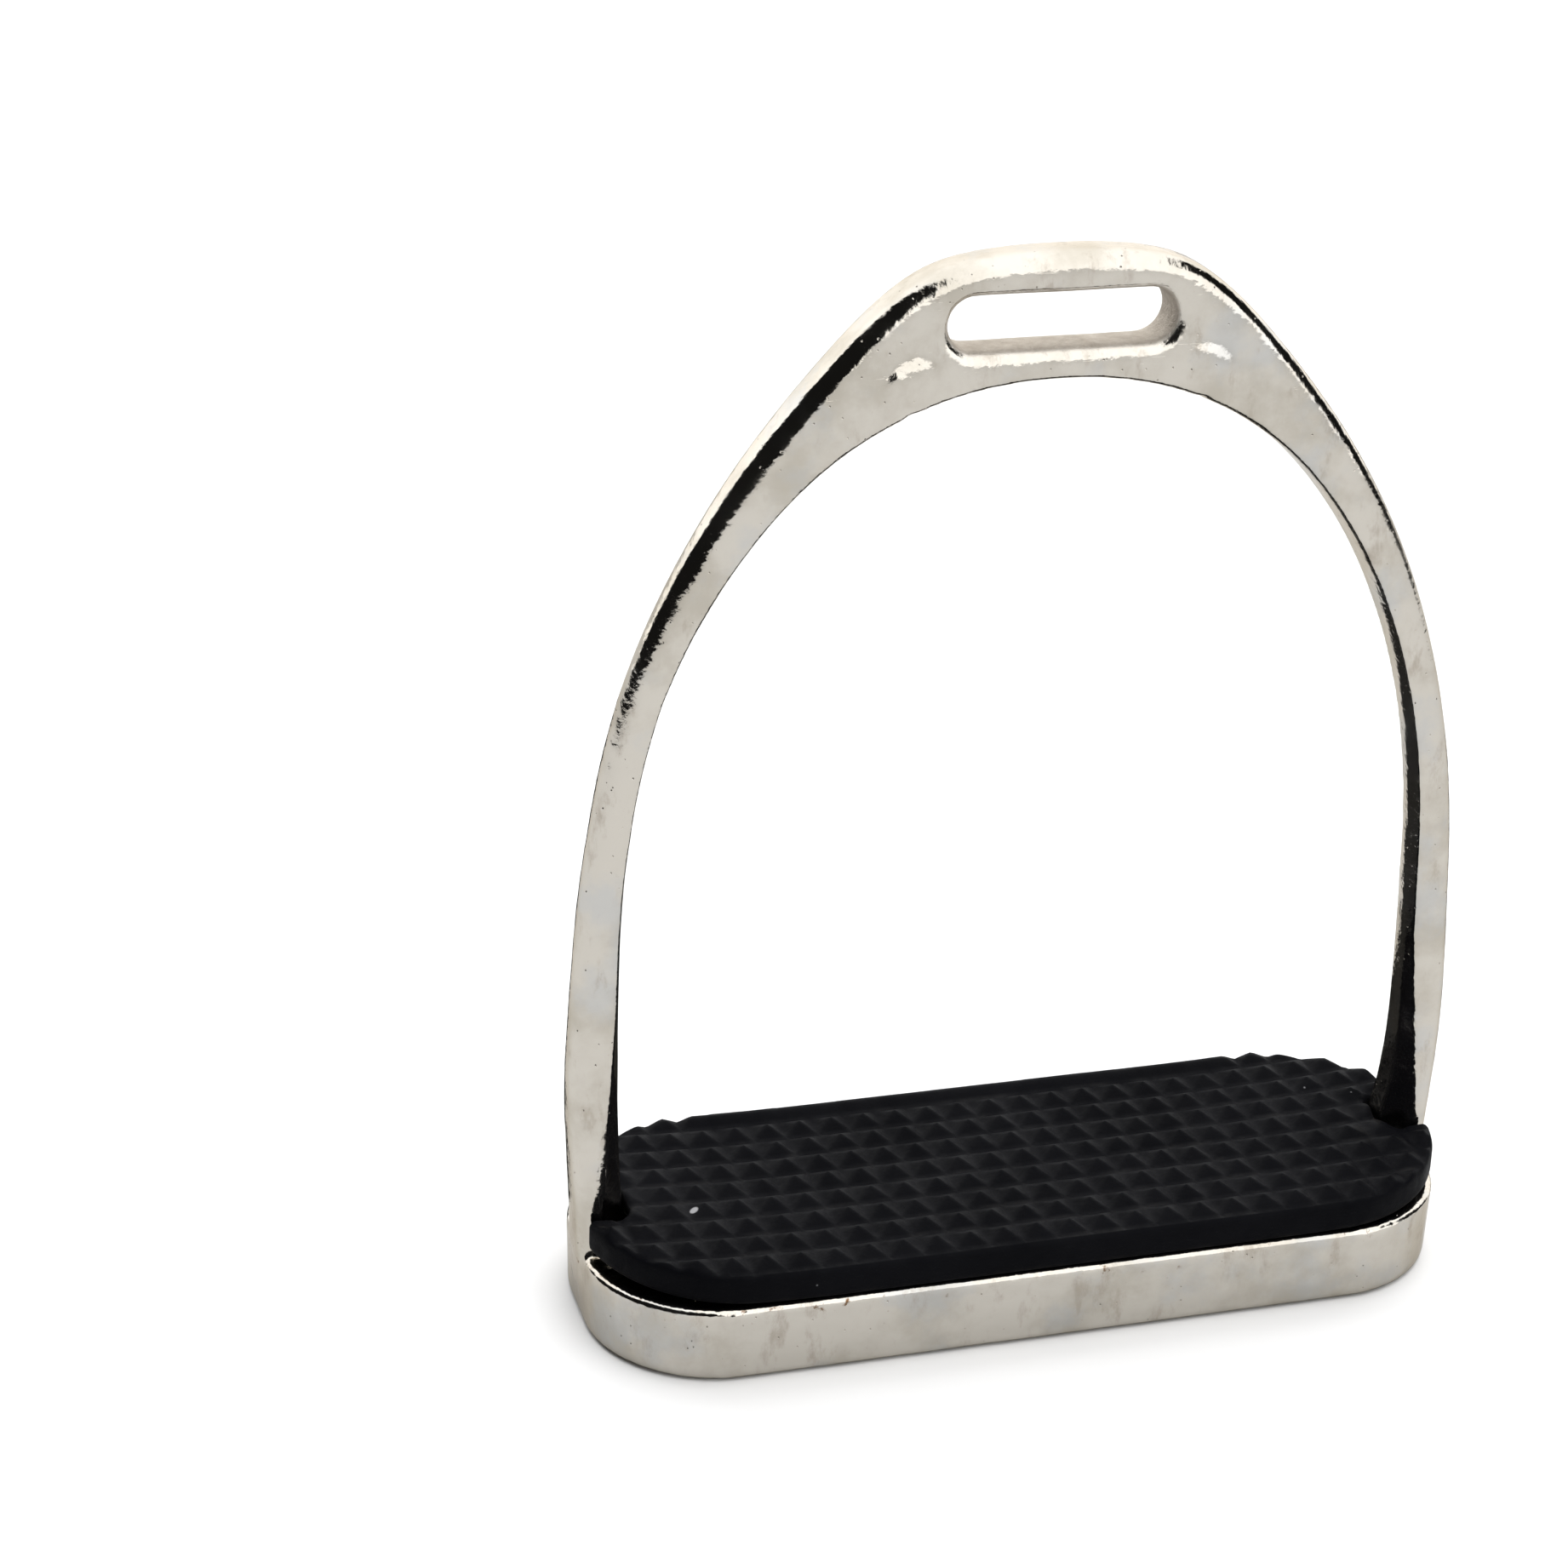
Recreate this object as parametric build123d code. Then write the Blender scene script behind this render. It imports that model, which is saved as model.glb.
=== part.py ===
from build123d import *
import os

# Stirrup iron with a rubber tread, in millimetres.
# X runs across the foot, Y fore and aft, Z up. The origin is under the middle of the base.

# --- base of the iron: a rounded bar with two long slots and a bar between them
BASE_LENGTH = 129.8
BASE_WIDTH = 46.4
BASE_CORNER = 19.0
BASE_HEIGHT = 11.5
BASE_DRAFT = 1.2             # degrees; the base is wider at its top
BASE_TOP_EDGE = 0.7
BASE_BOTTOM_EDGE = 1.0
SLOT_LENGTH = 96.0
SLOT_WIDTH = 13.0
SLOT_CORNER = 4.0
SLOT_EDGE = 0.6
CENTRE_BAR = 7.0
SLOT_Y = (CENTRE_BAR + SLOT_WIDTH) / 2

# --- arch: half outlines as (x, z), from the crown down to the foot
CROWN_HEIGHT = 155.0
OUTER_OUTLINE = [
    (11.0, 154.4), (18.0, 152.6), (23.4, 149.2), (31.5, 141.3), (42.6, 127.8), (53.7, 109.2),
    (61.0, 90.0), (65.2, 70.5), (67.0, 50.0), (67.4, 32.0), (65.7, 12.0), (65.15, 5.0),
]
INNER_CROWN_HEIGHT = 137.6
INNER_OUTLINE = [
    (13.3, 136.1), (23.5, 132.3), (34.2, 125.0), (45.0, 112.1), (54.0, 93.2), (58.6, 73.5),
    (59.9, 54.0), (60.1, 38.0), (59.7, 24.0), (57.3, BASE_HEIGHT),
]
FOOT_BOTTOM = 2.5            # the arms run down into the base to this height
FOOT_INSET = 62.5            # outer x of the buried end of an arm

# --- arch: half thickness fore and aft as (y, z), from the foot up
SIDE_OUTLINE = [
    (4.6, -2.0), (4.5, 11.5), (4.2, 20.0), (3.5, 33.0), (2.8, 50.0), (2.7, 70.0),
    (2.95, 98.0), (3.6, 125.0), (4.0, 146.0), (3.9, 158.0),
]
OUTER_EDGE = 2.5
INNER_EDGE = 0.9
LONG_EDGE = 250.0            # only the long edges along an outline of the arch are over this length
ROUGH_HALF = 90.0            # half size of the blanks that the two outlines are cut from
SLACK = 0.1                  # margin when edges are picked by where they lie

# --- eye for the stirrup leather, and the two small oval bosses beside it
EYE_LENGTH = 32.0
EYE_HEIGHT = 7.4
EYE_Z = 145.7
EYE_EDGE = 1.8
BOSS_X = 21.3
BOSS_Z = 139.0
BOSS_TILT = 25.0             # degrees; each boss leans along its shoulder
BOSS_HALF = (4.0, 2.1, 0.55)  # half length, half height, how far it stands out
BOSS_FACE_Y = 3.85           # the front face of the arch where the bosses stand

# --- rubber tread
PAD_GAP = 0.1
PAD_BOTTOM = BASE_HEIGHT + PAD_GAP
PAD_LENGTH = 130.8
PAD_WIDTH = 45.8
PAD_CORNER = 21.5
PAD_TOP = 17.2               # tips of the teeth
TOOTH_HEIGHT = 1.4
TOOTH_FLAT = 0.4             # width of the flat tip of a tooth
ROW_PITCH = 5.15             # fore and aft
ROW_SHIFT = -1.1             # y of the middle valley
ROWS_EACH_SIDE = 4
FULL_ROWS = 2 * ROWS_EACH_SIDE
COLUMN_PITCH = 5.0           # across the foot
COLUMNS_EACH_SIDE = 13
NOTCH_INNER_X = 56.6
NOTCH_WIDTH = 9.5
NOTCH_CORNER = 1.8
PLUG_CLEARANCE = 0.25
PLUG_DEPTH = 7.5
PLUG_LEAD = 0.8


def mirrored(half):
    """Points of a half outline and its mirror image, from the -X end to the +X end."""
    left = [(-x, z) for x, z in reversed(half)]
    return left, half


def rough(sketch, plane):
    """A blank of the sketch, which is drawn on the plane, long enough to cut the whole iron."""
    return extrude(plane.offset(-ROUGH_HALF) * sketch, 2 * ROUGH_HALF)


def arch_outline():
    """The closed front outline of both arms and the crown."""
    left, right = mirrored(OUTER_OUTLINE)
    outer = Spline(left + [(0, CROWN_HEIGHT)] + right)
    left, right = mirrored(INNER_OUTLINE)
    inner = Spline(left + [(0, INNER_CROWN_HEIGHT)] + right)
    feet = Curve()
    for side in (-1, 1):
        feet += Polyline(
            (side * OUTER_OUTLINE[-1][0], OUTER_OUTLINE[-1][1]),
            (side * FOOT_INSET, FOOT_BOTTOM),
            (side * INNER_OUTLINE[-1][0], FOOT_BOTTOM),
            (side * INNER_OUTLINE[-1][0], INNER_OUTLINE[-1][1]),
        )
    return make_face(Curve() + outer + inner + feet)


def arch_side():
    """The closed side outline, which is thin at mid height."""
    back = Spline(SIDE_OUTLINE)
    front = Spline([(-y, z) for y, z in SIDE_OUTLINE])
    ends = Curve()
    for y, z in (SIDE_OUTLINE[0], SIDE_OUTLINE[-1]):
        ends += Line((-y, z), (y, z))
    return make_face(Curve() + back + front + ends)


def front_and_back(edges):
    """Edges that lie on the front or the back face, as the middle of each shows."""
    return [edge for edge in edges if abs(edge.center().Y) > OUTER_EDGE]


def long_edges(body, outer):
    """The long edges of the outer or the inner outline, one at the front and one at the back."""
    found = [edge for edge in front_and_back(body.edges()) if edge.length > LONG_EDGE]
    return [edge for edge in found if (edge.bounding_box().max.Z > EYE_Z) == outer]


def arch():
    """Both arms and the crown with the leather eye, before the base is added."""
    body = rough(arch_outline(), Plane.XZ) & rough(arch_side(), Plane.YZ)
    body = fillet(long_edges(body, True), OUTER_EDGE)
    body = fillet(long_edges(body, False), INNER_EDGE)
    body -= rough(Pos(0, EYE_Z) * SlotOverall(EYE_LENGTH, EYE_HEIGHT), Plane.XZ)
    around_eye = [
        edge for edge in front_and_back(body.edges())
        if abs(edge.center().X) <= EYE_LENGTH / 2
        and abs(edge.center().Z - EYE_Z) <= EYE_HEIGHT / 2 + SLACK
        and edge.length < EYE_LENGTH
    ]
    return fillet(around_eye, EYE_EDGE)


def base():
    """The solid base bar, before the slots are cut."""
    outline = RectangleRounded(BASE_LENGTH, BASE_WIDTH, BASE_CORNER)
    body = extrude(outline, BASE_HEIGHT, taper=-BASE_DRAFT)
    body = fillet(body.faces().sort_by(Axis.Z)[-1].edges(), BASE_TOP_EDGE)
    return fillet(body.faces().sort_by(Axis.Z)[0].edges(), BASE_BOTTOM_EDGE)


def slots():
    """The two long slots, one each side of the bar along the middle of the base."""
    outline = RectangleRounded(SLOT_LENGTH, SLOT_WIDTH, SLOT_CORNER)
    return [Pos(0, side * SLOT_Y) * extrude(outline, BASE_HEIGHT) for side in (-1, 1)]


def boss(side):
    """A small oval boss on the front face, beside one end of the eye."""
    dome = scale(Sphere(1), by=(BOSS_HALF[0], BOSS_HALF[2], BOSS_HALF[1]))
    return Pos(side * BOSS_X, -BOSS_FACE_Y, BOSS_Z) * Rot(Y=side * BOSS_TILT) * dome


def stirrup_iron():
    """The casting: base, arms and crown in one piece."""
    body = base() - slots()
    rims = [
        edge for edge in body.edges()
        if abs(edge.center().X) <= SLOT_LENGTH / 2
        and abs(edge.center().Y) <= SLOT_Y + SLOT_WIDTH / 2 + SLACK
        and edge.bounding_box().size.Z < SLACK
    ]
    body = fillet(rims, SLOT_EDGE)
    return body + [arch(), boss(-1), boss(1)]


def valley_cutter(pitch, length):
    """A V-shaped bar along X that cuts one valley between two rows of teeth."""
    half_width = (pitch - TOOTH_FLAT) / 2
    section = make_face(Polyline((-half_width, 0), (half_width, 0), (0, -TOOTH_HEIGHT), close=True))
    return extrude(Plane.YZ.offset(-length / 2) * section, length)


def valleys():
    """Cutters for the valleys between the teeth; the crosswise ones leave a plain rib at each long side."""
    lengthwise = valley_cutter(ROW_PITCH, PAD_LENGTH + ROW_PITCH)
    crosswise = Rot(Z=90) * valley_cutter(COLUMN_PITCH, FULL_ROWS * ROW_PITCH)
    rows = range(-ROWS_EACH_SIDE, ROWS_EACH_SIDE + 1)
    columns = range(-COLUMNS_EACH_SIDE, COLUMNS_EACH_SIDE + 1)
    cutters = [Pos(0, ROW_SHIFT + row * ROW_PITCH, PAD_TOP) * lengthwise for row in rows]
    return cutters + [Pos(column * COLUMN_PITCH, ROW_SHIFT, PAD_TOP) * crosswise for column in columns]


def notch(side):
    """The cut-out in one end of the pad that clears the foot of an arm."""
    length = PAD_LENGTH / 2 - NOTCH_INNER_X + NOTCH_CORNER
    outline = RectangleRounded(2 * length, NOTCH_WIDTH, NOTCH_CORNER)
    return Pos(side * (NOTCH_INNER_X + length), 0, PAD_BOTTOM) * extrude(outline, PAD_TOP - PAD_BOTTOM)


def plug(side):
    """One long plug under the pad, which presses into a slot of the base."""
    length = SLOT_LENGTH - 2 * PLUG_CLEARANCE
    width = SLOT_WIDTH - 2 * PLUG_CLEARANCE
    outline = RectangleRounded(length, width, SLOT_CORNER - PLUG_CLEARANCE)
    body = extrude(outline, -PLUG_DEPTH)
    body = chamfer(body.faces().sort_by(Axis.Z)[0].edges(), PLUG_LEAD)
    return Pos(0, side * SLOT_Y, PAD_BOTTOM) * body


def tread_pad():
    """The rubber moulding: a toothed pad with two long plugs under it."""
    outline = RectangleRounded(PAD_LENGTH, PAD_WIDTH, PAD_CORNER)
    body = Pos(0, 0, PAD_BOTTOM) * extrude(outline, PAD_TOP - PAD_BOTTOM)
    body -= [notch(-1), notch(1)]
    body -= valleys()
    return body + [plug(-1), plug(1)]


def main():
    os.makedirs("parts", exist_ok=True)
    nodes = {"stirrup_iron": stirrup_iron(), "tread_pad": tread_pad()}
    for name, shape in nodes.items():
        export_step(shape, f"parts/{name}.step")


main()
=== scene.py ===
"""A plated stirrup iron with a toothed rubber tread, dressed for a studio picture.

Lengths are in metres, apart from those that a comment gives in millimetres. The frame is the CAD model's:
X across the foot, Y fore and aft, Z up.
"""
import math

import bpy
import numpy as np
from mathutils import Matrix, Vector, noise
from mathutils.geometry import delaunay_2d_cdt


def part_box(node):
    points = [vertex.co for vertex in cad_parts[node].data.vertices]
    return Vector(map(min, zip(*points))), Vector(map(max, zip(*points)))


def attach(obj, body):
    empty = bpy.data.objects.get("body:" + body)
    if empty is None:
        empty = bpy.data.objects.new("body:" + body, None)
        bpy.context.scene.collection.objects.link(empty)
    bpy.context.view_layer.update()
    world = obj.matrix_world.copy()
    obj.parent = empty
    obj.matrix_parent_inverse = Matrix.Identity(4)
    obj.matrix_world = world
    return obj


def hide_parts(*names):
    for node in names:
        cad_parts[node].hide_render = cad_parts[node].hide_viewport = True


MM = 0.001
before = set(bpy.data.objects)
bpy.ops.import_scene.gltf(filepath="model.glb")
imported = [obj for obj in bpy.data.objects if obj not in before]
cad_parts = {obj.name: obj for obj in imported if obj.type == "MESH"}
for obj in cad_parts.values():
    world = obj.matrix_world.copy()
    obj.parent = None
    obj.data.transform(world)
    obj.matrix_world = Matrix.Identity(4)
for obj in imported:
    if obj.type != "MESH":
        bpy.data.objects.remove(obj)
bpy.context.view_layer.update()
scene = bpy.context.scene

# --- sizes read from the frame
PAD_LOW, PAD_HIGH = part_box("tread_pad")
PAD_HALF_WIDTH = PAD_HIGH.y
PAD_TOP = PAD_HIGH.z
PLUG_BOTTOM = PAD_LOW.z

# --- camera
CAMERA_PLACE = Vector((-161.41, -428.73, 278.51)) * MM
CAMERA_AZIMUTH = math.radians(-16.32)
CAMERA_ELEVATION = math.radians(23.89)
CAMERA_ROLL = math.radians(1.59)
LENS = 81.38
SENSOR = 36.0
CLIP_START = 0.01

# --- tread
PAD_BOTTOM = 11.6 * MM
PAD_HALF_LENGTH = 65.4 * MM
PAD_CORNER = 21.5 * MM
NOTCH_HALF_WIDTH = 4.95 * MM
NOTCH_INNER_X = 57.4 * MM
NOTCH_CORNER = 2.2 * MM
NOTCH_MOUTH = 0.9 * MM
NOTCH_LEAN = 1.4 * MM        # how far the top of a notch leans out against its arm
# where the lean begins and is full, and where it fades to nothing: along X, and away from the middle
LEAN_START = (53.0 * MM, 57.0 * MM)
LEAN_END = (60.0 * MM, 63.0 * MM)
LEAN_SIDE = (5.0 * MM, 6.4 * MM)
OUTLINE_STEP = 0.6 * MM
CLEAR_OF_LINE = 0.6 * OUTLINE_STEP   # grid points keep this far from an outline
UNDERSIDE_STEP = 4.0 * MM
LEAST_ARC_STEPS = 4
INSIDE = 1                   # delaunay_2d_cdt keeps the triangles inside the rings
CDT_EPSILON = 1e-8
TOOTH_HEIGHT = 1.4 * MM
ROW_PITCH = 5.15 * MM
ROW_SHIFT = -1.1 * MM
COLUMN_PITCH = 5.0 * MM
CELLS_PER_TOOTH = 8
TOOTHED_HALF_WIDTH = 20.6 * MM   # beyond this, from the middle row, each long side is a plain rib
RIB_HALF_LENGTH = 42.5 * MM
TIP_POWER = 4.0              # how square a worn tooth is: 1 is a diamond, a large number a square
DOME_SHARE = 0.3             # how far a tooth is worn from a pyramid towards a dome
WEAR_MIDDLE = 0.96           # the height of a tooth as a share, and how much it varies from tooth to tooth
WEAR_RANGE = 0.16
# the place in the noise that gives a tooth its wear: the step by column, the step by row, and the height
WEAR_STEP = (0.37, 0.61, 4.2)
EDGE_FADE = 0.9 * MM         # teeth are a little lower within this distance of the rim
EDGE_LEAST = 0.75
VALLEY_START = 0.78          # where a valley between rows begins, from 0 at a tip to 1 at the bottom
CROSS_VALLEY = 0.6           # how much the valleys between columns count beside those between rows
# the side wall from top to foot: how far in, in millimetres, and how high as a share of the wall
WALL = ((0.40, 1.00), (0.14, 0.95), (0.02, 0.86), (0.0, 0.60), (0.0, 0.25), (0.10, 0.08), (0.35, 0.0))
LIFT = (1.9 * MM, 1.2 * MM)  # how far the -X and the +X end ride up on the feet of the arms
LIFT_START = 30.0 * MM
SHIFT_X = 0.45 * MM          # the pad sits a little to one side on its plugs
SLOT_HALF_LENGTH = 47.75 * MM
PLUG_HALF_WIDTH = 6.25 * MM
PLUG_Y = 10.0 * MM
PLUG_CORNER = 3.75 * MM
PLUG_LEAD = 0.8 * MM

# --- iron: these are in millimetres, because its skin is shaped at a thousand times its size
VOXEL = 0.53
BEVEL_START = (13.0, 15.5)   # the heights where the bevel of the arms begins and is full
# the bevel inside the front of each arm: height, and its width and depth there
ARM_BEVEL = (
    (12.0, 4.6, 4.4), (17.0, 4.2, 4.0), (24.0, 3.1, 3.0), (30.0, 2.4, 2.3), (38.0, 1.6, 2.3),
    (48.0, 0.9, 2.4), (95.0, 0.75, 3.0), (112.0, 0.6, 3.0), (126.0, 0.4, 1.6), (134.0, 0.1, 0.1),
)
BAND = 1.0                   # height of the bands in which an arm is measured
EVEN_BANDS = 7               # how many neighbouring bands are averaged
# how far an arm stands to the right of the drawing: height, shift of the left arm, of the right one's inside
ARM_SHIFT = (
    (11.0, 0.0, 0.6), (18.0, 0.5, 1.0), (26.0, 0.8, 1.0), (34.0, 0.85, 0.85), (43.0, 0.85, 0.5),
    (55.0, 0.85, 0.1), (75.0, 0.8, 0.0), (95.0, 0.0, 0.0),
)
ARM_WIDTH = 7.0
ARM_INNER_X = 59.7
SMOOTHING_STEPS = 5
SMOOTHING_SHARE = 0.5

# --- iron, in metres again
EYE_HALF_LENGTH = 17.6 * MM
EYE_BOTTOM = 140.6 * MM
EYE_TOP = 151.4 * MM
RAW_NORMALS = (0.75, 0.45)   # how far fore or aft a normal points where raw skin begins, and where it is full
WAVE_HEIGHT = 0.05 * MM
WAVE_LENGTH = 9.0 * MM

# --- nickel plate: (size, detail, roughness, stretch) of a noise, then (low, high, to low, to high) of a ramp
STAINS = ((13.0 * MM, 6, 0.6), (0.42, 0.66))
COOL_PATCHES = ((14.0 * MM, 5, 0.6), (0.50, 0.66, 0.0, 0.40))
SMEARS = ((4.2 * MM, 7, 0.68, (1, 1, 0.45)), (0.54, 0.72))
RUST = ((2.2 * MM, 5, 0.65), (0.60, 0.70))
HAZE = ((6.0 * MM, 7, 0.62), (0.36, 0.70, 0.05, 0.15))
SCRATCHES = ((0.4 * MM, 2, 0.5, (0.08, 1, 1)), (0.62, 0.74))
PITS = (1.9 * MM, 0.10)      # the size of a cell with one pit, and the pit's radius as a share of it
CAST_SKIN = (1.6 * MM, 6, 0.7)
PLATE_COLOUR = (0.64, 0.605, 0.545, 1)
STAIN_COLOUR = (0.52, 0.485, 0.42, 1)
COOL_COLOUR = (0.50, 0.53, 0.56, 1)
SMEAR_COLOUR = (0.36, 0.31, 0.25, 1)
PIT_COLOUR = (0.08, 0.06, 0.045, 1)
RUST_COLOUR = (0.17, 0.09, 0.04, 1)
CAST_DARK = (0.33, 0.28, 0.23, 1)
CAST_PALE = (0.72, 0.68, 0.62, 1)
PLATE_TINT = (0.74, 0.70, 0.64, 1)   # of the plate seen edge on
SMEAR_SHARE = 0.55
PIT_SHARE = 0.8
SMEAR_HAZE = 0.06
RAW_HAZE = 0.45
RUST_HEIGHT = 10.5 * MM      # rust shows only about this height, near the top edge of the base
RUST_REACH = (1.6 * MM, 0.4 * MM)
# bumps of the plate from coarse to fine: size, detail and roughness of the noise, and how high it stands
PLATE_BUMPS = (((4.5 * MM, 3), 0.26 * MM), ((1.3 * MM, 4, 0.6), 0.04 * MM), ((0.4 * MM, 3), 0.012 * MM))
SCRATCH_BUMP = -0.005 * MM
PIT_BUMP = -0.08 * MM
CAST_BUMP = ((1.0 * MM, 5, 0.7), 0.45 * MM)

# --- rubber
RUBBER_TONES = ((20.0 * MM, 4), (0.3, 0.7))
RUBBER_ROUGHNESS = ((3.0 * MM, 4), (0.3, 0.7, 0.46, 0.64))
DUST = ((9.0 * MM, 5, 0.6), (0.45, 0.75))
SPECKS = (10.0 * MM, 0.028)  # the size of a cell with one speck, and the speck's radius as a share of it
RUBBER_DARK = (0.0016, 0.0017, 0.0025, 1)
RUBBER_PALE = (0.0032, 0.0033, 0.0044, 1)
DUST_COLOUR = (0.034, 0.033, 0.032, 1)
SPECK_COLOUR = (0.35, 0.35, 0.36, 1)
FLECK_COLOUR = (0.33, 0.33, 0.34, 1)
DUST_SHARE = 0.35
FLECK_PLACE = (-48.9 * MM, -4.0 * MM, 17.2 * MM)   # the one large pale fleck stuck to the rubber
FLECK_EDGE = (0.9 * MM, 0.63 * MM)   # the distances from its middle where it begins and is full
RUBBER_SPECULAR = 0.035
RUBBER_BUMP = ((0.6 * MM, 4), 0.05 * MM)

# --- studio
FLOOR_HALF = 3.0
FLOOR_GAP = 0.1 * MM
FLOOR_COLOUR = (0.82, 0.82, 0.82, 1)
# painted reflection: the grey of the floor's darker copy, which only reflections show
PAINTED_REFLECTION_GREY = (0.60, 0.60, 0.60, 1)
CARD_ROUGHNESS = 0.9
BLACK = (0.0, 0.0, 0.0, 1)
WHITE = (1.0, 1.0, 1.0, 1)
# the dark sides of the room, by how far to the right a direction points
LEFT_DARK = (-0.48, -0.34)
LEFT_LEAN = 0.4              # how much further the left one reaches in front than behind
RIGHT_DARK = (0.72, 0.62)
RIGHT_ENDS = ((0.16, 0.42), (-0.38, -0.56))  # its ends, by how far back a direction points
ROOM_DARK = 0.015
ROOM_BRIGHT = 2.2
# painted shade seen in reflections: black cards at the floor, seen by nothing but reflections, that stand in
# for the shaded floor behind the iron and the dark room far to its right, as the corners (x, y) of each in
# millimetres
PAINTED_SHADE_CARDS = (
    ((-70, 30), (36, 30), (18, 80), (-70, 300), (-146, 300)),
    ((36, 30), (95, 30), (280, 150), (174, 150), (60, 80), (18, 80)),
    ((800, -150), (2900, -600), (2900, 1300), (800, 350)),
)
FILL_HEIGHT = 1.6
FILL_SIZE = 1.6
FILL_POWER = 14.0


def new_object(name, mesh):
    """An object at the origin, in the scene, smooth shaded."""
    piece = bpy.data.objects.new(name, mesh)
    scene.collection.objects.link(piece)
    mesh.shade_smooth()
    return piece


def move_points(mesh, points):
    """Puts a mesh's vertices in new places."""
    mesh.vertices.foreach_set("co", points.ravel())
    mesh.update()


def points_of(mesh):
    """The places of a mesh's vertices, one row each."""
    flat = np.empty(len(mesh.vertices) * 3)
    mesh.vertices.foreach_get("co", flat)
    return flat.reshape(-1, 3)


def normals_of(mesh):
    """The normals of a mesh's vertices, one row each."""
    flat = np.empty(len(mesh.vertices) * 3)
    mesh.vertex_normals.foreach_get("vector", flat)
    return flat.reshape(-1, 3)


def give_numbers(mesh, name, numbers):
    """Keeps one number for each vertex under a name that a material can read."""
    kept = mesh.attributes.new(name, "FLOAT", "POINT")
    kept.data.foreach_set("value", np.asarray(numbers, np.float32))


def share_between(values, start, full):
    """0 up to start and 1 from full on, and even in between, for each value."""
    return np.clip((values - start) / (full - start), 0, 1)


# --------------------------------------------------------------------------- camera

def add_camera():
    """The camera, from its place, its angle round and above the iron, and its roll."""
    data = bpy.data.cameras.new("camera")
    data.sensor_width = SENSOR
    data.lens = LENS
    data.clip_start = CLIP_START
    camera = bpy.data.objects.new("camera", data)
    scene.collection.objects.link(camera)
    sin_a, cos_a = math.sin(CAMERA_AZIMUTH), math.cos(CAMERA_AZIMUTH)
    sin_e, cos_e = math.sin(CAMERA_ELEVATION), math.cos(CAMERA_ELEVATION)
    back = Vector((sin_a * cos_e, -cos_a * cos_e, sin_e))
    right = Vector((cos_a, sin_a, 0))
    up = back.cross(right)
    turned_right = right * math.cos(CAMERA_ROLL) + up * math.sin(CAMERA_ROLL)
    turned_up = up * math.cos(CAMERA_ROLL) - right * math.sin(CAMERA_ROLL)
    rotation = Matrix((turned_right, turned_up, back)).transposed()
    camera.matrix_world = Matrix.Translation(CAMERA_PLACE) @ rotation.to_4x4()
    scene.camera = camera


# --------------------------------------------------------------------------- material helpers

class Graph:
    """A short way to add and join the nodes of one node tree."""

    def __init__(self, tree):
        self.tree = tree
        tree.nodes.clear()

    def add(self, kind, **settings):
        """A new node with these settings."""
        node = self.tree.nodes.new(kind)
        for key, value in settings.items():
            setattr(node, key, value)
        return node

    def put(self, value, socket):
        """Links a socket's value to an input, or sets the input to a plain value."""
        if isinstance(value, bpy.types.NodeSocket):
            self.tree.links.new(value, socket)
        else:
            socket.default_value = value

    def math(self, operation, a, b=0.0, clamp=False):
        """One calculation on two numbers or sockets."""
        node = self.add("ShaderNodeMath", operation=operation, use_clamp=clamp)
        self.put(a, node.inputs[0])
        self.put(b, node.inputs[1])
        return node.outputs[0]

    def noise(self, place, size, detail=4.0, roughness=0.55, stretch=(1, 1, 1)):
        """Noise from 0 to 1 whose features are about size metres across."""
        mapping = self.add("ShaderNodeMapping")
        self.put(place, mapping.inputs["Vector"])
        mapping.inputs["Scale"].default_value = [s / size for s in stretch]
        texture = self.add("ShaderNodeTexNoise")
        self.put(mapping.outputs[0], texture.inputs["Vector"])
        texture.inputs["Scale"].default_value = 1.0
        texture.inputs["Detail"].default_value = detail
        texture.inputs["Roughness"].default_value = roughness
        return texture.outputs["Fac"]

    def specks(self, place, size, reach):
        """1 inside small round specks, one for each cell of about size metres, and 0 outside them."""
        mapping = self.add("ShaderNodeMapping")
        self.put(place, mapping.inputs["Vector"])
        mapping.inputs["Scale"].default_value = [1 / size] * 3
        texture = self.add("ShaderNodeTexVoronoi")
        self.put(mapping.outputs[0], texture.inputs["Vector"])
        texture.inputs["Scale"].default_value = 1.0
        return self.ramp(texture.outputs["Distance"], reach, 0.0)

    def ramp(self, value, low, high, to_low=0.0, to_high=1.0):
        """Value taken smoothly from the range low..high to to_low..to_high."""
        node = self.add("ShaderNodeMapRange", interpolation_type="SMOOTHSTEP")
        self.put(value, node.inputs["Value"])
        for name, number in (("From Min", low), ("From Max", high), ("To Min", to_low), ("To Max", to_high)):
            node.inputs[name].default_value = number
        return node.outputs["Result"]

    def patches(self, place, kind):
        """The noise of one kind of patch, taken through its ramp."""
        pattern, limits = kind
        return self.ramp(self.noise(place, *pattern), *limits)

    def mix(self, share, a, b):
        """Colour a where share is 0 and colour b where it is 1."""
        node = self.add("ShaderNodeMix", data_type="RGBA")
        self.put(share, node.inputs["Factor"])
        self.put(a, node.inputs["A"])
        self.put(b, node.inputs["B"])
        return node.outputs["Result"]

    def attribute(self, name):
        """A number kept at the vertices of the mesh."""
        return self.add("ShaderNodeAttribute", attribute_name=name).outputs["Fac"]

    def bump(self, height, distance, under=None):
        """The normal of a skin raised by height times distance, over the bumps before it."""
        node = self.add("ShaderNodeBump")
        node.inputs["Distance"].default_value = distance
        node.inputs["Strength"].default_value = 1.0
        self.put(height, node.inputs["Height"])
        if under is not None:
            self.put(under, node.inputs["Normal"])
        return node.outputs["Normal"]


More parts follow.
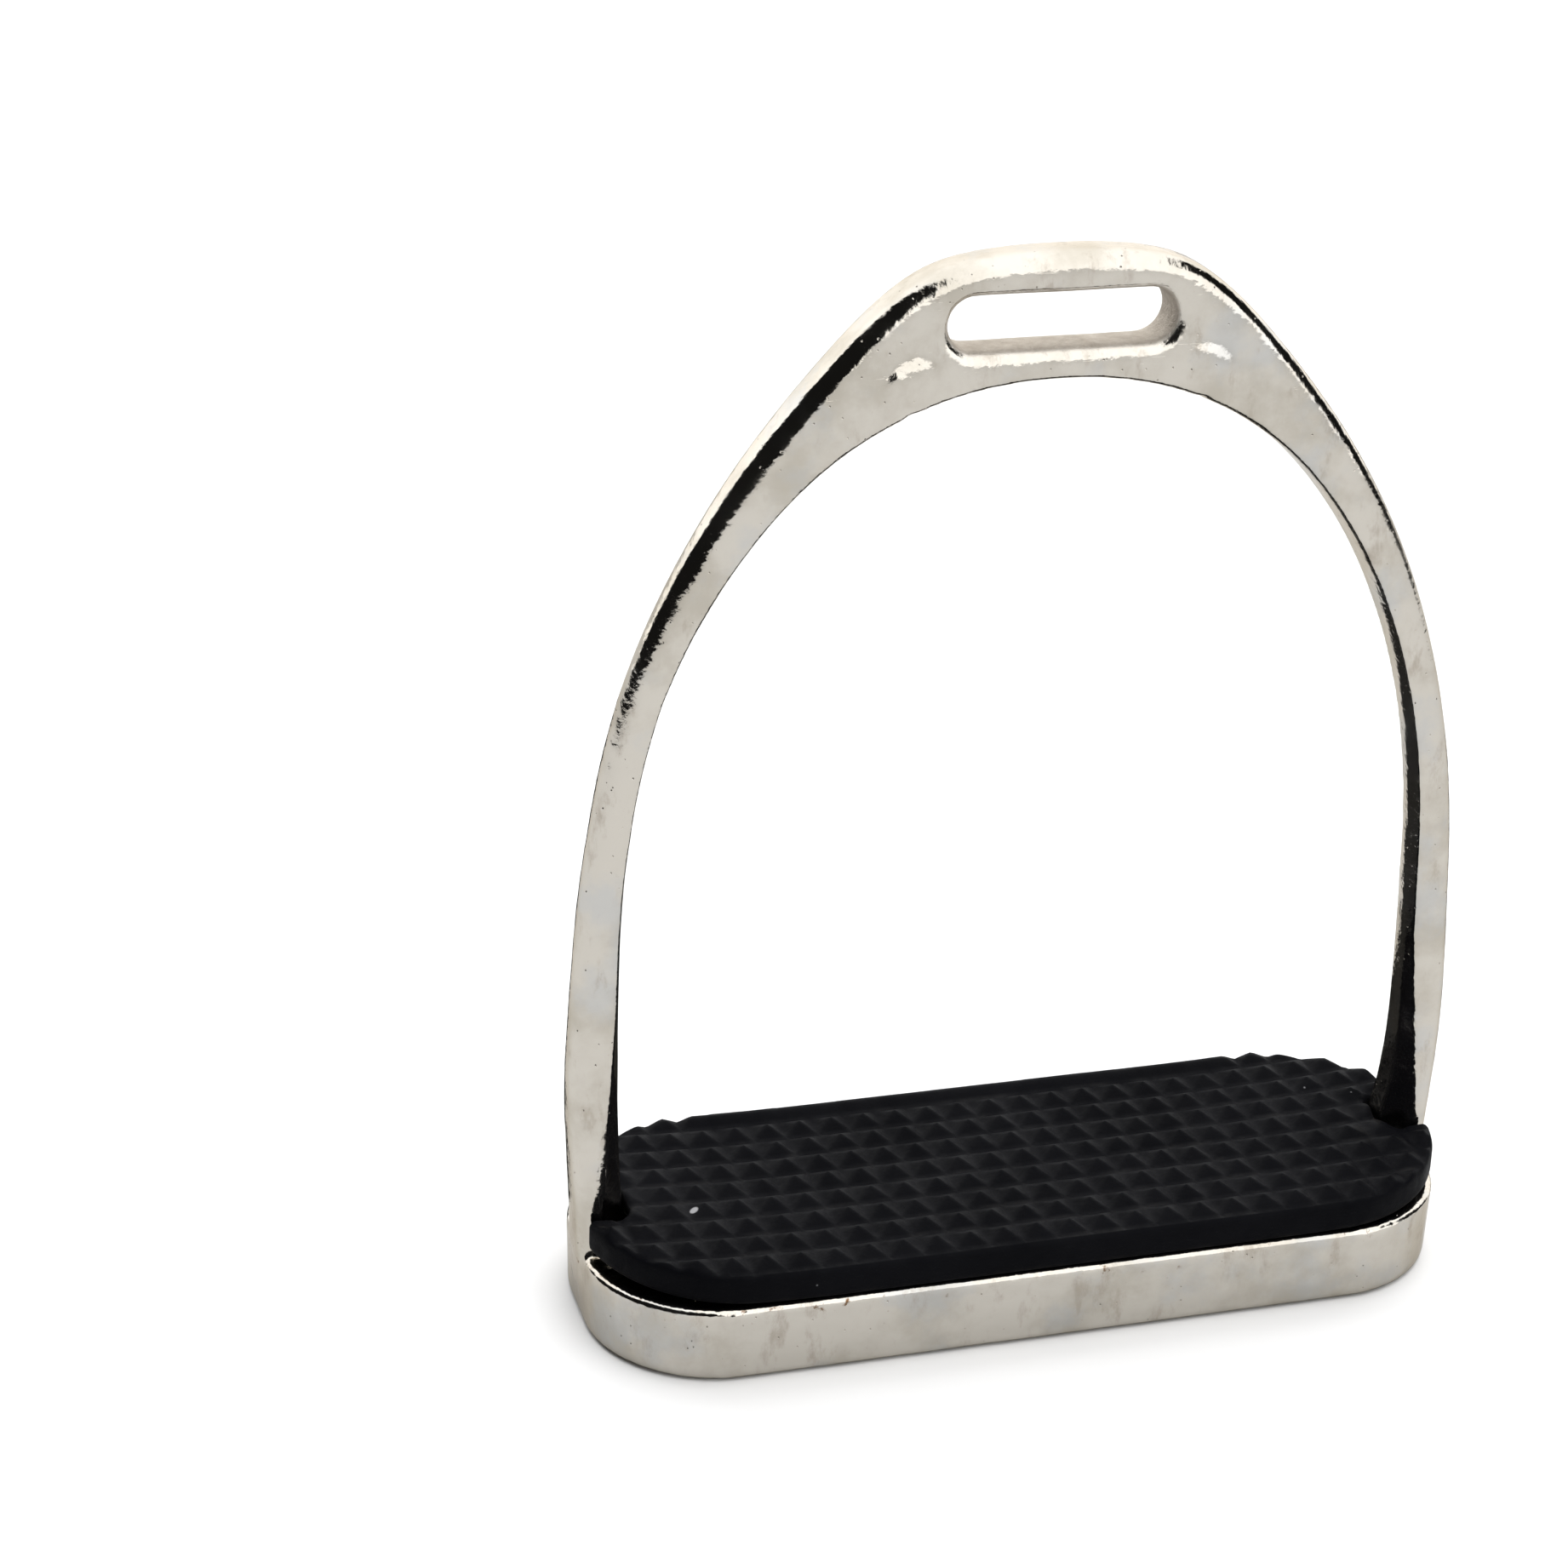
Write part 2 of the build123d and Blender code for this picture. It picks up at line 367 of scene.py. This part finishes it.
def new_material(name):
    """A material with a Principled shader: (material, graph, shader, object coordinates)."""
    material = bpy.data.materials.new(name)
    material.use_nodes = True
    graph = Graph(material.node_tree)
    output = graph.add("ShaderNodeOutputMaterial")
    shader = graph.add("ShaderNodeBsdfPrincipled")
    graph.put(shader.outputs[0], output.inputs["Surface"])
    place = graph.add("ShaderNodeTexCoord").outputs["Object"]
    return material, graph, shader, place


def nickel_colour(graph, place, raw, smear, pits):
    """Warm silver with stains, cool patches, smears, pits, rust at the rim, and cast walls in the eye."""
    colour = graph.mix(graph.patches(place, STAINS), PLATE_COLOUR, STAIN_COLOUR)
    colour = graph.mix(graph.patches(place, COOL_PATCHES), colour, COOL_COLOUR)
    colour = graph.mix(graph.math("MULTIPLY", smear, SMEAR_SHARE), colour, SMEAR_COLOUR)
    colour = graph.mix(graph.math("MULTIPLY", pits, PIT_SHARE), colour, PIT_COLOUR)
    split = graph.add("ShaderNodeSeparateXYZ")
    graph.put(place, split.inputs[0])
    from_rim = graph.math("ABSOLUTE", graph.math("SUBTRACT", split.outputs["Z"], RUST_HEIGHT))
    rust = graph.math("MULTIPLY", graph.ramp(from_rim, *RUST_REACH), graph.patches(place, RUST))
    colour = graph.mix(rust, colour, RUST_COLOUR)
    cast = graph.mix(graph.noise(place, *CAST_SKIN), CAST_DARK, CAST_PALE)
    return graph.mix(raw, colour, cast)


def nickel_roughness(graph, place, raw, smear):
    """A polish with a patchy haze, duller in smears and dull on the cast walls."""
    haze = graph.math("ADD", graph.patches(place, HAZE), graph.math("MULTIPLY", smear, SMEAR_HAZE))
    return graph.math("ADD", haze, graph.math("MULTIPLY", raw, RAW_HAZE), True)


def nickel_normal(graph, place, raw, pits):
    """A slightly wavy skin with fine scratches and pits, and grainy cast walls."""
    normal = None
    for pattern, height in PLATE_BUMPS:
        normal = graph.bump(graph.noise(place, *pattern), height, normal)
    normal = graph.bump(graph.patches(place, SCRATCHES), SCRATCH_BUMP, normal)
    normal = graph.bump(pits, PIT_BUMP, normal)
    pattern, height = CAST_BUMP
    return graph.bump(graph.math("MULTIPLY", graph.noise(place, *pattern), raw), height, normal)


def nickel():
    """Old nickel plate. The walls of the leather eye are left as they were cast, rough and darker."""
    material, graph, shader, place = new_material("nickel_plate")
    shader.inputs["Metallic"].default_value = 1.0
    shader.inputs["Specular Tint"].default_value = PLATE_TINT
    raw = graph.attribute("raw")
    smear = graph.patches(place, SMEARS)
    pits = graph.specks(place, *PITS)
    graph.put(nickel_colour(graph, place, raw, smear, pits), shader.inputs["Base Color"])
    graph.put(nickel_roughness(graph, place, raw, smear), shader.inputs["Roughness"])
    graph.put(nickel_normal(graph, place, raw, pits), shader.inputs["Normal"])
    return material


def rubber_colour(graph, place):
    """Black, with a little pale dust in the valleys between the teeth, small specks and one large fleck."""
    dust = graph.math("MULTIPLY", graph.attribute("valley"), graph.patches(place, DUST))
    colour = graph.mix(graph.patches(place, RUBBER_TONES), RUBBER_DARK, RUBBER_PALE)
    colour = graph.mix(graph.math("MULTIPLY", dust, DUST_SHARE), colour, DUST_COLOUR)
    colour = graph.mix(graph.specks(place, *SPECKS), colour, SPECK_COLOUR)
    away = graph.add("ShaderNodeVectorMath", operation="DISTANCE")
    graph.put(place, away.inputs[0])
    away.inputs[1].default_value = FLECK_PLACE
    return graph.mix(graph.ramp(away.outputs["Value"], *FLECK_EDGE), colour, FLECK_COLOUR)


def rubber():
    """Matte black rubber with a fine grain."""
    material, graph, shader, place = new_material("tread_rubber")
    shader.inputs["Specular IOR Level"].default_value = RUBBER_SPECULAR
    graph.put(rubber_colour(graph, place), shader.inputs["Base Color"])
    graph.put(graph.patches(place, RUBBER_ROUGHNESS), shader.inputs["Roughness"])
    pattern, height = RUBBER_BUMP
    graph.put(graph.bump(graph.noise(place, *pattern), height), shader.inputs["Normal"])
    return material


# --------------------------------------------------------------------------- iron

def modified(mesh, kind, **settings):
    """The mesh as one modifier leaves it. The mesh given is removed."""
    holder = bpy.data.objects.new("holder", mesh)
    scene.collection.objects.link(holder)
    modifier = holder.modifiers.new(kind, kind)
    for key, value in settings.items():
        setattr(modifier, key, value)
    graph = bpy.context.evaluated_depsgraph_get()
    result = bpy.data.meshes.new_from_object(holder.evaluated_get(graph))
    bpy.data.objects.remove(holder)
    bpy.data.meshes.remove(mesh)
    return result


def shift_arms(mesh):
    """Moves the left arm, and the inside of the right one, a little to the right, as the casting has them.

    The mesh is in millimetres.
    """
    points = points_of(mesh)
    x, z = points[:, 0], points[:, 2]
    heights, left, right = np.array(ARM_SHIFT).T
    arm = (z > heights[0]) & (np.abs(x) > ARM_INNER_X - ARM_WIDTH)
    inside = np.clip(1 - (x - ARM_INNER_X) / ARM_WIDTH, 0, 1)
    of_left, of_right = np.interp(z, heights, left), inside * np.interp(z, heights, right)
    points[:, 0] += arm * np.where(x < 0, of_left, of_right)
    move_points(mesh, points)


def arm_profile(x, y, z, heights):
    """The inner x and the half thickness of the arms at each height, measured on the skin in level bands."""
    bands = np.floor(z / BAND).astype(int)
    arms = (z > heights[0]) & (z < heights[-1])
    inner, half = np.full(bands.max() + 1, np.inf), np.zeros(bands.max() + 1)
    np.minimum.at(inner, bands[arms], x[arms])
    np.maximum.at(half, bands[arms], np.abs(y[arms]) * (x[arms] < inner[bands[arms]] + ARM_WIDTH))
    known = np.flatnonzero(np.isfinite(inner))
    middles = (known + 0.5) * BAND
    profiles = []
    for measured in (inner[known], half[known]):
        padded = np.pad(measured, EVEN_BANDS // 2, mode="edge")
        even = np.convolve(padded, np.full(EVEN_BANDS, 1 / EVEN_BANDS), mode="valid")
        profiles.append(np.interp(z, middles, even))
    return profiles


def bevel_arms(mesh):
    """Moves the inner front edge of both arms back onto a bevel, which is widest at the feet.

    The mesh is in millimetres.
    """
    points = points_of(mesh)
    side, x, y, z = np.sign(points[:, 0]), np.abs(points[:, 0]), points[:, 1], points[:, 2]
    heights, widths, depths = np.array(ARM_BEVEL).T
    inner_x, half_depth = arm_profile(x, y, z, heights)
    width = np.interp(z, heights, widths)
    depth = np.interp(z, heights, depths)
    outside = 1 - (x - inner_x) / width - (y + half_depth) / depth
    push = np.maximum(outside, 0) / (1 / width ** 2 + 1 / depth ** 2)
    push *= share_between(z, *BEVEL_START) * (z < heights[-1])
    points[:, 0] += side * push / width
    points[:, 1] += push / depth
    move_points(mesh, points)


def rounded_copy(node, name):
    """A copy of a CAD node's skin as even small quads, its edges softened as a casting's are.

    It is shaped a thousand times larger, in millimetres, because the remesher is slow on very small voxels.
    """
    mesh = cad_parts[node].data.copy()
    mesh.transform(Matrix.Scale(1 / MM, 4))
    mesh = modified(mesh, "REMESH", mode="VOXEL", voxel_size=VOXEL)
    bevel_arms(mesh)
    shift_arms(mesh)
    mesh = modified(mesh, "SMOOTH", factor=SMOOTHING_SHARE, iterations=SMOOTHING_STEPS)
    mesh.transform(Matrix.Scale(MM, 4))
    mesh.name = name
    mesh.materials.clear()
    return mesh


def cast_waves(mesh):
    """Moves the skin in and out a little along its normals, as hand polishing leaves it."""
    points, normals = points_of(mesh), normals_of(mesh)
    heights = np.array([noise.noise(Vector(p)) for p in points / WAVE_LENGTH]) * WAVE_HEIGHT
    move_points(mesh, points + normals * heights[:, None])


def mark_raw(mesh):
    """An attribute that is 1 on the walls of the leather eye, which were never polished, and 0 elsewhere."""
    points, normals = points_of(mesh), normals_of(mesh)
    x, z = points[:, 0], points[:, 2]
    near = (np.abs(x) < EYE_HALF_LENGTH) & (z > EYE_BOTTOM) & (z < EYE_TOP)
    give_numbers(mesh, "raw", near * share_between(np.abs(normals[:, 1]), *RAW_NORMALS))


def iron_piece(material):
    """The plated casting, in place of its CAD node."""
    mesh = rounded_copy("stirrup_iron", "iron_casting")
    mark_raw(mesh)
    cast_waves(mesh)
    piece = new_object("iron_casting", mesh)
    mesh.materials.append(material)
    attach(piece, "iron")
    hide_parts("stirrup_iron")


# --------------------------------------------------------------------------- tread

def arc(centre, radius, start, end):
    """Points of an arc from one angle to another, in degrees, both ends included."""
    count = max(LEAST_ARC_STEPS, round(abs(math.radians(end - start)) * radius / OUTLINE_STEP))
    angles = np.radians(np.linspace(start, end, count + 1))
    return [(centre[0] + radius * math.cos(t), centre[1] + radius * math.sin(t)) for t in angles]


def spaced(points):
    """The closed line through the points, with new points so that all gaps are about one step or less."""
    line = []
    for a, b in zip(points, points[1:] + points[:1]):
        count = max(1, round(math.dist(a, b) / OUTLINE_STEP))
        for k in range(count):
            share = k / count
            line.append((a[0] + (b[0] - a[0]) * share, a[1] + (b[1] - a[1]) * share))
    return line


def quarter_outline():
    """The outline where X and Y are positive, from the notch to the middle of the long side."""
    corner_x, corner_y = PAD_HALF_LENGTH - PAD_CORNER, PAD_HALF_WIDTH - PAD_CORNER
    inner = (NOTCH_INNER_X + NOTCH_CORNER, NOTCH_HALF_WIDTH - NOTCH_CORNER)
    mouth_y = NOTCH_HALF_WIDTH + NOTCH_MOUTH
    start = math.degrees(math.asin((mouth_y - corner_y) / PAD_CORNER))
    big = arc((corner_x, corner_y), PAD_CORNER, start, 90)
    mouth_x = big[0][0] - NOTCH_MOUTH
    return arc(inner, NOTCH_CORNER, 180, 90) + arc((mouth_x, mouth_y), NOTCH_MOUTH, -90, 0)[:-1] + big


def pad_outline():
    """The whole outline, counter-clockwise, from the notch at the +X end."""
    first = quarter_outline()
    second = [(-x, y) for x, y in reversed(first)]
    back = first + second
    front = [(-x, -y) for x, y in back]
    return spaced(back + front)


def plug_outline(side):
    """The outline of one plug, counter-clockwise."""
    half = (SLOT_HALF_LENGTH - PLUG_CORNER, PLUG_HALF_WIDTH - PLUG_CORNER)
    line = []
    for turn, (sign_x, sign_y) in enumerate(((1, 1), (-1, 1), (-1, -1), (1, -1))):
        centre = (sign_x * half[0], side * PLUG_Y + sign_y * half[1])
        line += arc(centre, PLUG_CORNER, 90 * turn, 90 * turn + 90)
    return spaced(line)


def distance_to(line, points):
    """The distance of each point to the nearest corner of a closed line."""
    nearest = np.full(len(points), np.inf)
    for corner in np.array(line):
        nearest = np.minimum(nearest, np.hypot(*(points - corner).T))
    return nearest


def inside(line, points):
    """True for each (x, y) point that lies inside a closed line."""
    odd = np.zeros(len(points), bool)
    x, y = points.T
    for (ax, ay), (bx, by) in zip(line, line[1:] + line[:1]):
        if ay != by:
            odd ^= ((ay > y) != (by > y)) & (x < ax + (y - ay) * (bx - ax) / (by - ay))
    return odd


def grid_inside(line, step_x, step_y, shift_y=0.0):
    """Points of an even grid that lie inside a closed line and well clear of it."""
    count_x, count_y = math.ceil(PAD_HALF_LENGTH / step_x), math.ceil(PAD_HALF_WIDTH / step_y) + 2
    xs = np.arange(-count_x, count_x + 1) * step_x
    ys = np.arange(-count_y, count_y + 1) * step_y + shift_y
    points = np.array([(x, y) for y in ys for x in xs])
    points = points[inside(line, points)]
    return points[distance_to(line, points) > CLEAR_OF_LINE]


def inset(line, distance):
    """A closed counter-clockwise line moved inwards."""
    points = np.array(line)
    along = np.roll(points, -1, axis=0) - np.roll(points, 1, axis=0)
    along /= np.hypot(*along.T)[:, None]
    inward = np.stack([-along[:, 1], along[:, 0]], axis=1)
    return [tuple(p) for p in points + inward * distance]


class Skin:
    """Vertices and faces of one closed mesh, gathered part by part."""

    def __init__(self):
        self.points = []
        self.faces = []

    def ring(self, line, z):
        """Adds a vertex for each (x, y) of a line at one height, and gives their numbers."""
        first = len(self.points)
        self.points += [(x, y, z) for x, y in line]
        return list(range(first, len(self.points)))

    def wall(self, upper, lower):
        """Quads between two closed rings of vertices, both counter-clockwise from above."""
        for k in range(len(upper)):
            after = (k + 1) % len(upper)
            self.faces.append((lower[k], lower[after], upper[after], upper[k]))

    def walls(self, above, levels):
        """Walls from one ring down through the lines of lower levels, and the ring at the last of them."""
        for line, z in levels:
            below = self.ring(line, z)
            self.wall(above, below)
            above = below
        return above

    def fill(self, rings, extra, z, upward, holes=()):
        """Triangles between rings of vertices, through extra (x, y) points, and none inside the holes."""
        known = [i for ring in rings for i in ring]
        edges, first = [], 0
        for ring in rings:
            edges += [(first + k, first + (k + 1) % len(ring)) for k in range(len(ring))]
            first += len(ring)
        flat = [Vector(self.points[i][:2]) for i in known] + [Vector(p) for p in extra]
        places, _, faces, sources, _, _ = delaunay_2d_cdt(flat, edges, [], INSIDE, CDT_EPSILON)
        names = []
        for place, made_from in zip(places, sources):
            old = [known[i] for i in made_from if i < len(known)]
            names.append(old[0] if old else self.ring([place], z)[0])
        centres = np.array([sum((places[i] for i in face), Vector((0, 0))) / len(face) for face in faces])
        open_here = np.zeros(len(faces), bool)
        for hole in holes:
            open_here |= inside(hole, centres)
        for face, is_open in zip(faces, open_here):
            if not is_open:
                corners = tuple(names[i] for i in face)
                self.faces.append(corners if upward else corners[::-1])


def lift_at(x):
    """How far the tread stands off the base, where its ends ride up on the feet of the arms."""
    reach = share_between(np.abs(x), LIFT_START, PAD_HALF_LENGTH)
    return np.where(x < 0, *LIFT) * reach ** 2


def notch_lean_at(points):
    """How far each point of the pad moves outwards so that the notches lean against the arms."""
    side, x, y, z = np.sign(points[:, 0]), np.abs(points[:, 0]), np.abs(points[:, 1]), points[:, 2]
    near = share_between(x, *LEAN_START) * share_between(x, *LEAN_END[::-1])
    near *= share_between(y, *LEAN_SIDE[::-1])
    return side * near * NOTCH_LEAN * share_between(z, PAD_BOTTOM, PAD_TOP)


def teeth_at(points, edge_distance):
    """Height of the toothed skin at each (x, y) point, and from 0 to 1 how deep in a valley it lies."""
    x, y = points[:, 0], points[:, 1] - ROW_SHIFT
    column, row = x / COLUMN_PITCH, y / ROW_PITCH
    rib = (np.abs(y) > TOOTHED_HALF_WIDTH) & (np.abs(x) < RIB_HALF_LENGTH)
    across = np.abs((column % 1.0) - 0.5) * 2 * ~rib
    along = np.abs((row % 1.0) - 0.5) * 2
    by_column, by_row, level = WEAR_STEP
    cells = zip(np.floor(column), np.floor(row))
    wear = np.array([noise.noise(Vector((c * by_column, r * by_row, level))) for c, r in cells])
    pyramid = 1 - np.maximum(across, along)
    dome = 1 - (across ** TIP_POWER + along ** TIP_POWER) ** (1 / TIP_POWER)
    worn = pyramid + DOME_SHARE * (dome - pyramid)
    height = np.clip(worn * (WEAR_MIDDLE + WEAR_RANGE * wear), 0, 1)
    height *= np.clip(edge_distance / EDGE_FADE, EDGE_LEAST, 1)
    valley = share_between(np.maximum(along, CROSS_VALLEY * across), VALLEY_START, 1.0)
    return TOOTH_HEIGHT * height, valley


def add_plug(skin, plug, root):
    """The wall, the leading edge and the end of one plug, below its ring of vertices on the underside."""
    end_line = inset(plug, PLUG_LEAD)
    end = skin.walls(root, ((plug, PLUG_BOTTOM + PLUG_LEAD), (end_line, PLUG_BOTTOM)))
    skin.fill([end], grid_inside(end_line, UNDERSIDE_STEP, UNDERSIDE_STEP), PLUG_BOTTOM, False)


def tread_skin():
    """The flat-topped tread with its two plugs, how many of its first vertices are its top, and its rim."""
    skin = Skin()
    outline = pad_outline()
    wall_height = PAD_TOP - TOOTH_HEIGHT - PAD_BOTTOM
    levels = [(inset(outline, way_in * MM), PAD_BOTTOM + share * wall_height) for way_in, share in WALL]
    rim_line, rim_z = levels[0]
    rim = skin.ring(rim_line, rim_z)
    step_x, step_y = COLUMN_PITCH / CELLS_PER_TOOTH, ROW_PITCH / CELLS_PER_TOOTH
    skin.fill([rim], grid_inside(rim_line, step_x, step_y, ROW_SHIFT), rim_z, True)
    top_count = len(skin.points)
    foot = skin.walls(rim, levels[1:])
    plugs = [plug_outline(side) for side in (-1, 1)]
    roots = [skin.ring(plug, PAD_BOTTOM) for plug in plugs]
    clear = grid_inside(levels[-1][0], UNDERSIDE_STEP, UNDERSIDE_STEP)
    for plug in plugs:
        clear = clear[~inside(plug, clear)]
        clear = clear[distance_to(plug, clear) > CLEAR_OF_LINE]
    skin.fill([foot, *roots], clear, PAD_BOTTOM, False, plugs)
    for plug, root in zip(plugs, roots):
        add_plug(skin, plug, root)
    return skin, top_count, rim_line


def tread_mesh():
    """The tread with its teeth raised, its notches leaning on the arms and its ends riding up on the feet."""
    skin, top_count, rim = tread_skin()
    points = np.array(skin.points)
    top = points[:top_count, :2]
    height, depth = teeth_at(top, distance_to(rim, top))
    points[:top_count, 2] += height
    points[:, 0] += notch_lean_at(points)
    points[:, 2] += lift_at(points[:, 0])
    points[points[:, 2] > PAD_BOTTOM, 0] += SHIFT_X
    mesh = bpy.data.meshes.new("rubber_tread")
    mesh.from_pydata(points.tolist(), [], skin.faces)
    mesh.validate()
    valley = np.zeros(len(points))
    valley[:top_count] = depth
    give_numbers(mesh, "valley", valley)
    return mesh


def tread_piece(material):
    """The rubber tread, in place of its CAD node."""
    mesh = tread_mesh()
    piece = new_object("rubber_tread", mesh)
    mesh.materials.append(material)
    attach(piece, "tread")
    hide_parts("tread_pad")


# --------------------------------------------------------------------------- studio

def add_world():
    """A white backdrop, and for light and reflections a bright room whose left and right sides are dark."""
    world = bpy.data.worlds.new("studio")
    scene.world = world
    world.use_nodes = True
    graph = Graph(world.node_tree)
    direction = graph.add("ShaderNodeSeparateXYZ")
    graph.put(graph.add("ShaderNodeTexCoord").outputs["Generated"], direction.inputs[0])
    leaning = graph.math("MULTIPLY", direction.outputs["Y"], LEFT_LEAN)
    left = graph.ramp(graph.math("ADD", direction.outputs["X"], leaning), *LEFT_DARK)
    right = graph.ramp(direction.outputs["X"], *RIGHT_DARK)
    for end in RIGHT_ENDS:
        right = graph.math("MAXIMUM", right, graph.ramp(direction.outputs["Y"], *end))
    strength = graph.ramp(graph.math("MULTIPLY", left, right), 0.0, 1.0, ROOM_DARK, ROOM_BRIGHT)
    room = graph.add("ShaderNodeBackground")
    graph.put(strength, room.inputs["Strength"])
    plain = graph.add("ShaderNodeBackground")
    plain.inputs["Color"].default_value = WHITE
    seen = graph.add("ShaderNodeLightPath").outputs["Is Camera Ray"]
    blend = graph.add("ShaderNodeMixShader")
    for value, socket in ((seen, 0), (room.outputs[0], 1), (plain.outputs[0], 2)):
        graph.put(value, blend.inputs[socket])
    graph.put(blend.outputs[0], graph.add("ShaderNodeOutputWorld").inputs["Surface"])


def flat_card(name, corners, z, colour):
    """A level card of one colour, part of the studio and not of the object."""
    mesh = bpy.data.meshes.new(name)
    mesh.from_pydata([(x, y, z) for x, y in corners], [], [range(len(corners))])
    card = new_object(name, mesh)
    material, _, shader, _ = new_material(name)
    shader.inputs["Base Color"].default_value = colour
    shader.inputs["Roughness"].default_value = CARD_ROUGHNESS
    mesh.materials.append(material)
    return card


def only_reflected(card):
    """Leaves a card to be seen in reflections and nowhere else."""
    card.visible_camera = False
    card.visible_diffuse = False
    card.visible_shadow = False


def add_floor():
    """A pale floor, and just over it a greyer copy that only reflections show: a painted darker reflection of
    the floor, so the plating mirrors a dimmer floor than the camera sees.
    """
    corners = [(x * FLOOR_HALF, y * FLOOR_HALF) for x, y in ((-1, -1), (1, -1), (1, 1), (-1, 1))]
    floor = flat_card("floor", corners, -FLOOR_GAP, FLOOR_COLOUR)
    floor.visible_glossy = False
    # painted reflection: a greyer copy of the floor for the plating to mirror
    only_reflected(flat_card("floor_painted_reflection", corners, -FLOOR_GAP / 2, PAINTED_REFLECTION_GREY))


def add_painted_shade_cards():
    """Painted shade for the reflections: black cards at the floor, behind the iron and far to its right,
    which only reflections show, standing in for the shaded floor and the dark room there.
    """
    for number, corners in enumerate(PAINTED_SHADE_CARDS):
        places = [(x * MM, y * MM) for x, y in corners]
        # painted shade: each card is plain black and only reflections see it
        only_reflected(flat_card(f"painted_shade_card_{number}", places, FLOOR_GAP, BLACK))


def add_fill_light():
    """A large soft light overhead that lights the floor and the rubber but isn't seen in the plating."""
    data = bpy.data.lights.new("fill", "AREA")
    data.shape = "DISK"
    data.size = FILL_SIZE
    data.energy = FILL_POWER
    light = bpy.data.objects.new("fill", data)
    light.location = (0.0, 0.0, FILL_HEIGHT)
    light.visible_glossy = False
    scene.collection.objects.link(light)


def main():
    """The studio, then the two pieces of the stirrup."""
    scene.view_settings.view_transform = "Standard"
    add_camera()
    add_world()
    add_floor()
    add_painted_shade_cards()
    add_fill_light()
    iron_piece(nickel())
    tread_piece(rubber())


main()
